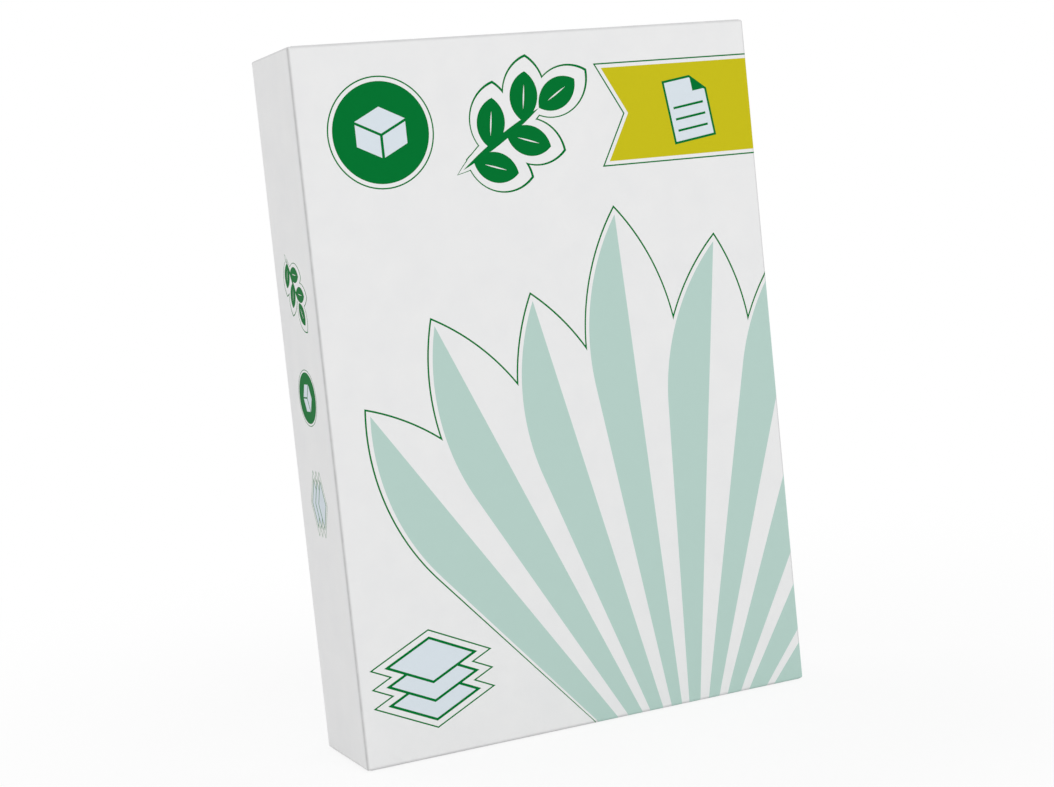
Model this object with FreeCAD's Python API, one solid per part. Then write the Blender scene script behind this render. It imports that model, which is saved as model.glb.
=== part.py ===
import FreeCAD, Part
import math
import os
from FreeCAD import Placement, Rotation, Vector

# A sealed ream of A4 office paper, standing upright on one short end. All sizes are in millimetres.
#
# The stack of sheets is wrapped like a parcel in one sheet of coated paper. The wrapper goes round the stack
# as a tube, whose two long edges lap over each other and are glued down the middle of the back. At each end
# the two narrow sides are tucked in first, as ears. The rear flap is folded over the ears, and the front flap
# is folded over the rear one and glued. The slanting folds at the sides of each flap start at the corners of
# the pack, so that a triangle of each ear stays in view between them.
#
# The pack is sealed and nothing shows its inside, so it is one solid. Its print is plain fields of four inks
# on the flat of the front and of the left narrow side, each ink a thin solid layer of its own colour.
#
# Frame: the origin is in the middle of the underside. +Z runs up along the sheets' length, -Y is the way the
# front faces, and -X is the narrow side on the left of the front.

# The stack of sheets
SHEET_WIDTH = 210.0
SHEET_LENGTH = 297.0
SHEET_COUNT = 500
SHEET_THICKNESS = 0.103

# The wrapper
WRAPPER_THICKNESS = 0.12
WRAPPER_SLACK = 0.16  # room between the stack and the wrapper, on every side
LAYER_RISE = 0.25  # one more layer of wrapper, with its glue and the air under it
LONG_FOLD_RADIUS = 1.2  # outside of the four folds along the length
END_FOLD_RADIUS = 0.9  # outside of the folds round each end, where there is one layer
CLIMB_LENGTH = 3.0  # a layer's slope where it climbs onto the one below

# The flaps on the ends
FLAP_SLANT_DEG = 45.0  # between a flap's fold line and its slanting side
FLAP_OVERLAP = 18.0  # how far the front flap lies over the rear one

# The glued lap down the back
SEAM_WIDTH = 22.0
SEAM_TUCK = 2.0  # how far the lap runs in under the front flap
SEAM_BITE = 0.1  # how deep the lap's solid reaches into the layer below

# The print in general
INK_THICKNESS = 0.04
LINE_WIDTH = 0.6  # thin contour lines
POINT_REACH = 2.0  # the tip of a grown outline reaches out this many times its margin

# The round badge with a plain block in it, on the front
BADGE_RADIUS = 21.0
BADGE_RING_GAP = 1.6
BADGE_FROM_LEFT = 36.0
BADGE_FROM_TOP = 37.0
BLOCK_HALF_WIDTH = 11.0
BLOCK_HALF_DEPTH = 5.5
BLOCK_HEIGHT = 9.0
BLOCK_GAP = 1.2  # between the faces of the block

# The twig on the front, its leaves set along the stem on either side in turn
TWIG_FROM_LEFT = 98.0
TWIG_FROM_TOP = 38.0
TWIG_STEM_LENGTH = 44.0
TWIG_STEM_HALF_WIDTH = 1.5
TWIG_LEAN_DEG = 58.0  # to the right
TWIG_LEAF_LENGTH = 21.0
TWIG_LEAF_HALF_WIDTH = 6.4
TWIG_LEAF_SPREAD_DEG = 50.0
TWIG_LEAF_SPACING = 9.5
TWIG_RIB_LENGTH = 10.5
TWIG_RIB_START = 5.0  # from the foot of a leaf
TWIG_CONTOUR_GAP = 3.0

# The ribbon that runs off the right edge of the front, with a plain sheet on it
RIBBON_LENGTH = 72.0
RIBBON_WIDTH = 40.0
RIBBON_FROM_TOP = 17.0
RIBBON_NOTCH = 11.0
RIBBON_KEYLINE = 1.5
SHEET_MARK_FROM_RIGHT = 31.0
SHEET_MARK_WIDTH = 21.0
SHEET_MARK_HEIGHT = 28.0
SHEET_MARK_CORNER = 7.0
SHEET_MARK_STROKE = 1.0
SHEET_MARK_LINES = 3
SHEET_MARK_LINE_SPACING = 5.0
SHEET_MARK_LINE_INDENT = 3.0
SHEET_MARK_TILT_DEG = 8.0

# The fan of broad petals that runs off the right and the bottom of the front
FAN_ROOT_FROM_LEFT = 150.0
FAN_ROOT_BELOW_BOTTOM = 50.0
FAN_FIRST_DEG = 34.0  # the first petal leans this far to the left
FAN_STEP_DEG = 10.5
FAN_PETAL_LENGTHS = (236.0, 250.0, 241.0, 268.0, 254.0, 272.0, 252.0, 238.0, 214.0)
FAN_PETAL_HALF_WIDTH = 20.0
FAN_PETAL_TIP = 72.0  # the length over which a petal narrows to its tip
FAN_CONTOUR_GAP = 1.4

# The three stacked layers at the lower left of the front
STACK_FROM_LEFT = 33.0
STACK_ABOVE_BOTTOM = 33.0
STACK_HALF_WIDTH = 21.0
STACK_HALF_HEIGHT = 10.0
STACK_STEP = 8.0
STACK_COUNT = 3
STACK_STROKE = 1.1
STACK_CONTOUR_GAP = 2.2

# The same marks on the left narrow side, turned to read along it
SIDE_MARK_SCALE = 0.52
SIDE_FIRST_FROM_TOP = 98.0
SIDE_MARK_SPACING = 45.0

# Places that follow from the sizes above
SKIN = WRAPPER_THICKNESS + WRAPPER_SLACK
WIDTH = SHEET_WIDTH + 2 * SKIN
DEPTH = SHEET_COUNT * SHEET_THICKNESS + 2 * SKIN
EAR_BOTTOM = 2 * LAYER_RISE
EAR_TOP = EAR_BOTTOM + SHEET_LENGTH + 2 * SKIN
HEIGHT = EAR_TOP + 2 * LAYER_RISE
FRONT = -(DEPTH + LAYER_RISE) / 2
BACK = FRONT + DEPTH
FLAP_LENGTH = (DEPTH + FLAP_OVERLAP) / 2
FLAP_FOLD_RADIUS = END_FOLD_RADIUS + LAYER_RISE
FACE_HEIGHT = EAR_TOP - EAR_BOTTOM

DARK_GREEN = "dark_green_print"
OLIVE = "olive_print"
PALE_GREEN = "pale_green_print"
PALE_BLUE = "pale_blue_print"
UNPRINTED = "unprinted"
INKS = (DARK_GREEN, OLIVE, PALE_GREEN, PALE_BLUE)

UP = Vector(0, 0, 1)


def edges_where(shape, test):
    """The edges of a shape whose ends and middle all pass the test."""
    found = []
    for edge in shape.Edges:
        middle = edge.valueAt((edge.FirstParameter + edge.LastParameter) / 2)
        if all(test(point) for point in [middle] + [v.Point for v in edge.Vertexes]):
            found.append(edge)
    return found


def wrapped_block():
    """The stack in its tube of wrapper, with the ears tucked flat on the ends and every fold rounded."""
    block = Part.makeBox(WIDTH, DEPTH, FACE_HEIGHT, Vector(-WIDTH / 2, FRONT, EAR_BOTTOM))
    upright = [edge for edge in block.Edges if abs(edge.tangentAt(edge.FirstParameter).z) > 0.5]
    block = block.makeFillet(LONG_FOLD_RADIUS, upright)
    near = 1e-6
    rims = edges_where(block, lambda p: min(abs(p.z - EAR_BOTTOM), abs(p.z - EAR_TOP)) < near)
    return block.makeFillet(END_FOLD_RADIUS, rims)


def fold_arc(wall_y, inward):
    """The outside of a flap's fold over the top end, from the wall at wall_y.

    inward is the sign of the way into the pack.
    """
    centre = Vector(0, wall_y + inward * FLAP_FOLD_RADIUS, EAR_TOP - END_FOLD_RADIUS)
    wall = centre + Vector(0, -inward * FLAP_FOLD_RADIUS, 0)
    crest = centre + Vector(0, 0, FLAP_FOLD_RADIUS)
    half_turn = math.sqrt(0.5) * FLAP_FOLD_RADIUS
    between = centre + Vector(0, -inward * half_turn, half_turn)
    return Part.Arc(wall, between, crest), wall, crest


def flap_plan(wall_y, inward):
    """A tall prism over a flap's outline from above: a fold line, two slanting folds and a free edge."""
    slope = 1 / math.tan(math.radians(FLAP_SLANT_DEG))
    half = WIDTH / 2 - LONG_FOLD_RADIUS
    margin = FLAP_FOLD_RADIUS  # the prism starts this far outside the wall, clear of the rounded fold
    outer = wall_y - inward * margin
    free = wall_y + inward * FLAP_LENGTH
    corners = [
        Vector(-half - margin * slope, outer, 0),
        Vector(half + margin * slope, outer, 0),
        Vector(half - FLAP_LENGTH * slope, free, 0),
        Vector(-half + FLAP_LENGTH * slope, free, 0),
    ]
    outline = Part.makePolygon(corners + corners[:1])
    return Part.Face(outline).extrude(Vector(0, 0, 2 * HEIGHT))


def flap(wall_y, inward, climbs):
    """One flap on the top end. It lies one layer up, and climbs to two where it reaches the other flap."""
    arc, wall, crest = fold_arc(wall_y, inward)
    low = EAR_TOP + LAYER_RISE
    high = low + LAYER_RISE
    free = wall_y + inward * FLAP_LENGTH
    other_free_edge = wall_y + inward * (DEPTH - FLAP_LENGTH)
    top = [crest]
    if climbs:
        top.append(Vector(0, other_free_edge - inward * CLIMB_LENGTH, low))
        top.append(Vector(0, other_free_edge, high))
        top.append(Vector(0, free, high))
    else:
        top.append(Vector(0, free, low))
    underside = [Vector(0, free, wall.z), wall]
    path = top + underside
    edges = [arc.toShape()] + [Part.makeLine(a, b) for a, b in zip(path, path[1:])]
    section = Part.Face(Part.Wire(edges))
    section.translate(Vector(-WIDTH / 2, 0, 0))
    return section.extrude(Vector(WIDTH, 0, 0)).common(flap_plan(wall_y, inward))


def upside_down(shape):
    """The same thing at the bottom end of the pack."""
    return shape.mirror(Vector(0, 0, HEIGHT / 2), UP)


def seam_lap():
    """The glued lap: down the back, round both end folds and along the rear flaps to the front flaps.

    The wrapper's outer edge ends in a cut edge on one side, and climbs over the hidden edge on the other.
    """
    arc, wall, crest = fold_arc(BACK, -1)
    start = Vector(0, FRONT + FLAP_LENGTH - SEAM_TUCK, crest.z)
    upper = [Part.makeLine(start, crest), arc.toShape()]
    lower = [upside_down(edge) for edge in upper]
    foot = Vector(0, wall.y, HEIGHT - wall.z)
    spine = Part.Wire(Part.sortEdges(upper + [Part.makeLine(wall, foot)] + lower)[0])
    half = SEAM_WIDTH / 2
    profile = [
        Vector(half, 0, -SEAM_BITE),
        Vector(half, 0, LAYER_RISE),
        Vector(-half, 0, LAYER_RISE),
        Vector(-half - CLIMB_LENGTH, 0, 0),
        Vector(-half - CLIMB_LENGTH, 0, -SEAM_BITE),
    ]
    ring = Part.makePolygon([start + point for point in profile + profile[:1]])
    return spine.makePipeShell([ring], True, False)


def wrapped_ream():
    """The whole pack: the wrapped block, two flaps on each end and the lap down the back."""
    flaps = [flap(BACK, -1, climbs=False), flap(FRONT, 1, climbs=True)]
    flaps += [upside_down(piece) for piece in flaps]
    pack = wrapped_block().fuse(flaps + [seam_lap()])
    return pack.removeSplitter().Solids[0]


# The print is drawn flat, on a page with x to the right and y up. A design is a list of layers, each an ink
# and a flat shape, and a later layer covers the ones before it. A mark is drawn about its own middle.


def polygon(points):
    """A flat face through the given (x, y) points."""
    corners = [Vector(x, y, 0) for x, y in points]
    return Part.Face(Part.makePolygon(corners + corners[:1]))


def bar(left, right, low, high):
    """An upright rectangle between two x and two y values."""
    return polygon([(left, low), (right, low), (right, high), (left, high)])


def disc(radius):
    """A round face about the page's zero point."""
    return Part.Face(Part.Wire(Part.makeCircle(radius)))


def lozenge(half_width, half_height, margin=0.0):
    """A rhombus about the page's zero point, grown by a margin on all sides."""
    grow = 1 + margin * math.hypot(half_width, half_height) / (half_width * half_height)
    x = half_width * grow
    y = half_height * grow
    return polygon([(-x, 0), (0, -y), (x, 0), (0, y)])


def leaf(length, half_width, margin=0.0):
    """A pointed leaf between two arcs, standing on the page's zero point, grown by a margin on all sides."""
    foot = Vector(0, -margin, 0)
    tip = Vector(0, length + POINT_REACH * margin, 0)
    middle = (foot + tip) / 2
    side = Vector(half_width + margin, 0, 0)
    edges = [Part.Arc(foot, middle + side, tip), Part.Arc(tip, middle - side, foot)]
    return Part.Face(Part.Wire([arc.toShape() for arc in edges]))


def petal_side(length, margin, hand):
    """The outline of one side of a petal, from the root to the tip. hand is +1 for the right side.

    A petal widens in a straight line to its shoulders, and an arc that starts in line closes it to the tip.
    """
    root = Vector(0, -POINT_REACH * margin, 0)
    tip = Vector(0, length + POINT_REACH * margin, 0)
    shoulder = Vector(hand * (FAN_PETAL_HALF_WIDTH + margin), length - FAN_PETAL_TIP, 0)
    chord = tip - shoulder
    bow = chord.Length / 2 * math.tan((shoulder - root).getAngle(chord) / 2)
    outward = chord.cross(UP).normalize() * hand
    arc = Part.Arc(shoulder, (shoulder + tip) / 2 + outward * bow, tip)
    return [Part.makeLine(root, shoulder), arc.toShape()]


def petal(length, margin=0.0):
    """A whole petal, standing on the page's zero point, grown by a margin on all sides."""
    edges = petal_side(length, margin, 1) + petal_side(length, margin, -1)
    return Part.Face(Part.Wire(Part.sortEdges(edges)[0]))


def petal_left_half(length):
    """A petal from its left side to its rib."""
    rib = Part.makeLine(Vector(0, 0, 0), Vector(0, length, 0))
    return Part.Face(Part.Wire(Part.sortEdges(petal_side(length, 0, -1) + [rib])[0]))


def turned(shape, degrees):
    """A shape turned about the page's zero point, to the left where degrees is over zero."""
    return shape.rotated(Vector(0, 0, 0), UP, degrees)


def moved(shape, x, y):
    """A shape moved on the page."""
    return shape.translated(Vector(x, y, 0))


def united(shapes):
    """Flat shapes joined into one, with no seams where they overlap or meet."""
    if len(shapes) == 1:
        return shapes[0]
    return shapes[0].fuse(shapes[1:]).removeSplitter()


def ringed(outlines, gap):
    """A thin dark line round a mark. outlines(margin) gives the mark's faces, grown by that margin."""
    return [(DARK_GREEN, united(outlines(gap + LINE_WIDTH))), (UNPRINTED, united(outlines(gap)))]


def badge():
    """A dark disc in a ring, with a plain block in the middle, seen from above one corner."""
    near = BLOCK_GAP / 2
    far = BLOCK_HALF_WIDTH
    fall = BLOCK_HALF_DEPTH * (far - near) / far
    low = -(BLOCK_HEIGHT + BLOCK_GAP) / 2
    high = low + BLOCK_HEIGHT
    side = [(near, low - fall), (far, low), (far, high), (near, high - fall)]
    other_side = [(-x, y) for x, y in side]
    lid = moved(lozenge(BLOCK_HALF_WIDTH, BLOCK_HALF_DEPTH), 0, high + BLOCK_GAP)
    faces = [lid, polygon(side), polygon(other_side)]
    layers = ringed(lambda margin: [disc(BADGE_RADIUS + margin)], BADGE_RING_GAP)
    return layers + [(DARK_GREEN, disc(BADGE_RADIUS))] + [(PALE_BLUE, face) for face in faces]


def twig():
    """A leaning twig in dark green with a line round it. Its leaves stand on either side in turn."""
    leaf_places = [(TWIG_STEM_LENGTH, 0)]
    hand = 1
    along = TWIG_STEM_LENGTH - TWIG_LEAF_SPACING
    while along > 0:
        leaf_places.append((along, hand * TWIG_LEAF_SPREAD_DEG))
        hand = -hand
        along -= TWIG_LEAF_SPACING
    half_reach = (TWIG_STEM_LENGTH + TWIG_LEAF_LENGTH) / 2

    def on_page(shape):
        return turned(moved(shape, 0, -half_reach), -TWIG_LEAN_DEG)

    def on_stem(shape, along, spread):
        return on_page(moved(turned(shape, spread), 0, along))

    def outlines(margin):
        shapes = [on_page(leaf(TWIG_STEM_LENGTH, TWIG_STEM_HALF_WIDTH, margin))]
        for place in leaf_places:
            shapes.append(on_stem(leaf(TWIG_LEAF_LENGTH, TWIG_LEAF_HALF_WIDTH, margin), *place))
        return shapes

    rib = moved(leaf(TWIG_RIB_LENGTH, LINE_WIDTH / 2), 0, TWIG_RIB_START)
    ribs = [(UNPRINTED, on_stem(rib, *place)) for place in leaf_places]
    return ringed(outlines, TWIG_CONTOUR_GAP) + [(DARK_GREEN, united(outlines(0)))] + ribs


def stack():
    """Thin layers lying on each other, seen from above one corner, with a line round them."""

    def at_level(face, level):
        return moved(face, 0, (level - (STACK_COUNT - 1) / 2) * STACK_STEP)

    def outlines(margin):
        face = lozenge(STACK_HALF_WIDTH, STACK_HALF_HEIGHT, margin)
        return [at_level(face, level) for level in range(STACK_COUNT)]

    layers = ringed(outlines, STACK_CONTOUR_GAP)
    fill = lozenge(STACK_HALF_WIDTH, STACK_HALF_HEIGHT, -STACK_STROKE)
    for level, rim in enumerate(outlines(0)):
        layers += [(DARK_GREEN, rim), (PALE_BLUE, at_level(fill, level))]
    return layers


def sheet_mark():
    """A plain sheet with one corner turned over and three ruled lines."""
    x = SHEET_MARK_WIDTH / 2
    y = SHEET_MARK_HEIGHT / 2
    corner = SHEET_MARK_CORNER
    rim = polygon([(-x, -y), (x, -y), (x, y - corner), (x - corner, y), (-x, y)])
    turned_over = polygon([(x - corner, y), (x - corner, y - corner), (x, y - corner)])
    fill = rim.makeOffset2D(-SHEET_MARK_STROKE, 2)
    layers = [(DARK_GREEN, rim), (PALE_BLUE, fill), (DARK_GREEN, turned_over)]
    reach = x - SHEET_MARK_LINE_INDENT
    for row in range(SHEET_MARK_LINES):
        level = -y + (row + 1) * SHEET_MARK_LINE_SPACING
        layers.append((DARK_GREEN, bar(-reach, reach, level, level + SHEET_MARK_STROKE)))
    return layers


def ribbon():
    """An olive ribbon with a notched end, drawn from the middle of its notched end to the right."""
    half = RIBBON_WIDTH / 2
    slant = math.hypot(RIBBON_NOTCH, half)

    def outline(margin):
        tail = -margin * (RIBBON_NOTCH + slant) / half
        notch = RIBBON_NOTCH - margin * slant / half
        far = RIBBON_LENGTH + RIBBON_NOTCH
        high = half + margin
        return polygon([(tail, -high), (far, -high), (far, high), (tail, high), (notch, 0)])

    return ringed(lambda margin: [outline(margin)], RIBBON_KEYLINE) + [(OLIVE, outline(0))]


def fan():
    """Broad petals fanned out from one root, the left half of each tinted, with a line round them all."""
    leans = [FAN_FIRST_DEG - place * FAN_STEP_DEG for place in range(len(FAN_PETAL_LENGTHS))]
    petals = list(zip(FAN_PETAL_LENGTHS, leans))

    def outlines(margin):
        return [turned(petal(length, margin), lean) for length, lean in petals]

    layers = ringed(outlines, FAN_CONTOUR_GAP)
    for length, lean in petals:
        layers.append((UNPRINTED, turned(petal(length), lean)))
        layers.append((PALE_GREEN, turned(petal_left_half(length), lean)))
    return layers


def put(layers, x, y, turn_deg=0.0, scale=1.0):
    """A mark's layers moved to their place on the page."""
    return [(ink, moved(turned(shape.scaled(scale), turn_deg), x, y)) for ink, shape in layers]


def front_design():
    """The front's page: its zero point is the middle of the front."""
    left = -WIDTH / 2
    top = FACE_HEIGHT / 2
    ribbon_middle = top - RIBBON_FROM_TOP - RIBBON_WIDTH / 2
    layers = put(fan(), left + FAN_ROOT_FROM_LEFT, -top - FAN_ROOT_BELOW_BOTTOM)
    layers += put(badge(), left + BADGE_FROM_LEFT, top - BADGE_FROM_TOP)
    layers += put(twig(), left + TWIG_FROM_LEFT, top - TWIG_FROM_TOP)
    layers += put(ribbon(), -left - RIBBON_LENGTH, ribbon_middle)
    layers += put(sheet_mark(), -left - SHEET_MARK_FROM_RIGHT, ribbon_middle, SHEET_MARK_TILT_DEG)
    layers += put(stack(), left + STACK_FROM_LEFT, -top + STACK_ABOVE_BOTTOM)
    return layers


def side_design():
    """The left narrow side's page: the marks stand one above the other, with their tops to the front."""
    layers = []
    for place, mark in enumerate((twig(), badge(), stack())):
        from_top = SIDE_FIRST_FROM_TOP + place * SIDE_MARK_SPACING
        layers += put(mark, 0, FACE_HEIGHT / 2 - from_top, -90, SIDE_MARK_SCALE)
    return layers


def flat_fields(layers, face_width):
    """What shows of each ink on one flat of the pack, once each layer has covered the ones before it."""
    half_width = face_width / 2 - LONG_FOLD_RADIUS
    half_height = FACE_HEIGHT / 2 - END_FOLD_RADIUS
    flat = bar(-half_width, half_width, -half_height, half_height)
    fields = {}
    for place, (ink, shape) in enumerate(layers):
        if ink == UNPRINTED:
            continue
        shown = shape.common(flat)
        over = [later for _, later in layers[place + 1:] if later.BoundBox.intersect(shape.BoundBox)]
        if over:
            shown = shown.cut(over)
        fields.setdefault(ink, []).extend(shown.Faces)
    return fields


def printed_inks():
    """Each ink's thin solids on the front and on the left narrow side."""
    middle = (EAR_BOTTOM + EAR_TOP) / 2
    front = Placement(Vector(0, FRONT, middle), Rotation(Vector(1, 0, 0), 90))
    side_turn = Rotation(Vector(0, -1, 0), UP, Vector(-1, 0, 0), "XYZ")
    side = Placement(Vector(-WIDTH / 2, (FRONT + BACK) / 2, middle), side_turn)
    solids = {ink: [] for ink in INKS}
    for layers, face_width, placement in ((front_design(), WIDTH, front), (side_design(), DEPTH, side)):
        for ink, faces in flat_fields(layers, face_width).items():
            for face in united(faces).Faces:
                field = face.extrude(UP * INK_THICKNESS)
                field.Placement = placement
                solids[ink].append(field)
    return {ink: Part.makeCompound(fields) for ink, fields in solids.items()}


os.makedirs("parts", exist_ok=True)
nodes = {"wrapped_ream": wrapped_ream()}
nodes.update(printed_inks())
for name, shape in nodes.items():
    shape.exportStep(f"parts/{name}.step")
    box = shape.BoundBox
    low = [round(value, 3) for value in (box.XMin, box.YMin, box.ZMin)]
    high = [round(value, 3) for value in (box.XMax, box.YMax, box.ZMax)]
    state = "valid" if shape.isValid() else "not valid"
    print(name, len(shape.Solids), "solids", state, "volume", round(shape.Volume, 1), low, high)
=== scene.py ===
import logging
import math
from collections.abc import Iterable, Sequence
from dataclasses import dataclass, field
from enum import Enum
from typing import Any

import bpy
import numpy as np
from mathutils import Matrix, Vector
from mathutils.geometry import delaunay_2d_cdt


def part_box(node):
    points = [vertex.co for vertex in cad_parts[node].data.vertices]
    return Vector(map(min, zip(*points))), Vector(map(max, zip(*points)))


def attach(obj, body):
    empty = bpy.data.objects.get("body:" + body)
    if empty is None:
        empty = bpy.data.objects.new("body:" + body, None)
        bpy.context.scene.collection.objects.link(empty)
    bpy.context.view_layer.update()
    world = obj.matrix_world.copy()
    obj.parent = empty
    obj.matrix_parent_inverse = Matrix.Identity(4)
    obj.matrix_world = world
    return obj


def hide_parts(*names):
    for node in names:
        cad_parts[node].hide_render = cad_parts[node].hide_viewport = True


# A sealed ream of office paper. Drawings are made in millimetres and meshes in metres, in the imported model's
# frame: +Z up along the sheets, -Y the way the front faces, -X the printed narrow side.

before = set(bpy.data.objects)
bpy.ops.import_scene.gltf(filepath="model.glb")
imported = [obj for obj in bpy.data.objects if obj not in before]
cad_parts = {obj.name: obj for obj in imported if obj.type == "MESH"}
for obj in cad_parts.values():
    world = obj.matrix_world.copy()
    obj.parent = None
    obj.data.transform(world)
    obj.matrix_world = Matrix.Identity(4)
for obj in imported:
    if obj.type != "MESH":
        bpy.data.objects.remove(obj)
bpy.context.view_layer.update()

log = logging.getLogger("ream")

MM = 0.001
LONGEST_CHORD = 2.5  # an outline's longest straight step
FINEST_SAG = 0.02  # how far a chord may leave its arc
LINE_WIDTH = 0.6  # of the thin contour lines
NO_LENGTH = 1e-6  # a shorter step of an outline counts as none
LOOK_ASIDE = 0.02  # how far off a line the ink on either side is looked up
LOOK_AT = (0.08, 0.3, 0.5, 0.7, 0.92)  # where along the line, from 0 to 1
WELD = 1e-4  # places on the flat that are closer are one
SAME_LEVEL = 1e-3  # levels on the flat that are closer are one
SAME_DIGITS = 4  # points on the pack that agree to so many decimals are one
UNMARKED = 1e9  # farther from a flap than any place on the pack
SLANT = math.sqrt(0.5)  # the sine and the cosine of 45 degrees


class Ink(Enum):
    """What covers a place on the wrapper. The value is the piece's name."""

    PAPER = "wrapper"
    DARK_GREEN = "dark_green_ink"
    OLIVE = "olive_ink"
    PALE_GREEN = "pale_green_ink"
    PALE_BLUE = "pale_blue_ink"


INKS = tuple(Ink)


# Sizes


@dataclass(frozen=True)
class PackSize:
    """The pack's outside sizes in millimetres, the same as the solids'."""

    width: float
    front: float
    back: float
    height: float
    layer_rise: float = 0.25
    long_fold_radius: float = 1.2
    end_fold_radius: float = 0.9
    flap_overlap: float = 18.0
    climb_length: float = 3.0
    lap_half_width: float = 11.0
    step_run: float = 0.06

    @classmethod
    def from_solids(cls) -> "PackSize":
        """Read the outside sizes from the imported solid.

        Returns:
            The sizes.
        """
        low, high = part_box("wrapped_ream")
        return cls(
            width=(high.x - low.x) / MM,
            front=low.y / MM,
            back=high.y / MM - cls.layer_rise,
            height=high.z / MM,
        )

    @property
    def depth(self) -> float:
        """From the front to the back, without the lap."""
        return self.back - self.front

    @property
    def face_height(self) -> float:
        """From ear to ear, without the flaps."""
        return self.height - 4 * self.layer_rise

    @property
    def flat_half_width(self) -> float:
        """From the middle of the front to where its long folds start."""
        return self.width / 2 - self.long_fold_radius

    @property
    def flap_length(self) -> float:
        """From a flap's fold to its free edge."""
        return (self.depth + self.flap_overlap) / 2

    @property
    def ear_level(self) -> float:
        """The height of the ears on the top end."""
        return self.height - 2 * self.layer_rise


# Drawing on the flat


def straight(start: Sequence[float], end: Sequence[float]) -> np.ndarray:
    """Points along a straight line, without its end.

    Args:
        start: The first point.
        end: The point that the line stops short of.

    Returns:
        The points, no farther apart than the longest chord.
    """
    start, end = np.array(start, float), np.array(end, float)
    steps = max(1, math.ceil(float(np.hypot(*(end - start))) / LONGEST_CHORD))
    return start + (end - start) * (np.arange(steps) / steps)[:, None]


def in_steps(start: Sequence[float], end: Sequence[float]) -> list[tuple[np.ndarray, np.ndarray]]:
    """A straight line as short lines, each as its two ends."""
    places = [*straight(start, end), np.array(end, float)]
    return list(zip(places, places[1:]))


def arc(start: Sequence[float], outward: Sequence[float], bow: float, end: Sequence[float]) -> np.ndarray:
    """Points along a circular arc, without its end.

    Args:
        start: The first point.
        outward: The way from the chord's middle to the arc's.
        bow: How far the arc's middle stands from the chord's middle.
        end: The point that the arc stops short of.

    Returns:
        The points, close enough together for the finest sag.
    """
    start, end = np.array(start, float), np.array(end, float)
    outward = np.array(outward, float) / np.hypot(*outward)
    half_chord = float(np.hypot(*(end - start))) / 2
    radius = (half_chord**2 + bow**2) / (2 * bow)
    centre = (start + end) / 2 + outward * (bow - radius)
    half_turn = math.atan2(half_chord, radius - bow)
    chord = min(LONGEST_CHORD, 2 * math.sqrt(2 * radius * FINEST_SAG))
    steps = max(2, math.ceil(2 * half_turn * radius / chord))
    along = (end - start) / (2 * half_chord)
    turns = (np.arange(steps) / steps * 2 - 1)[:, None] * half_turn
    return centre + radius * (outward * np.cos(turns) + along * np.sin(turns))


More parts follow.
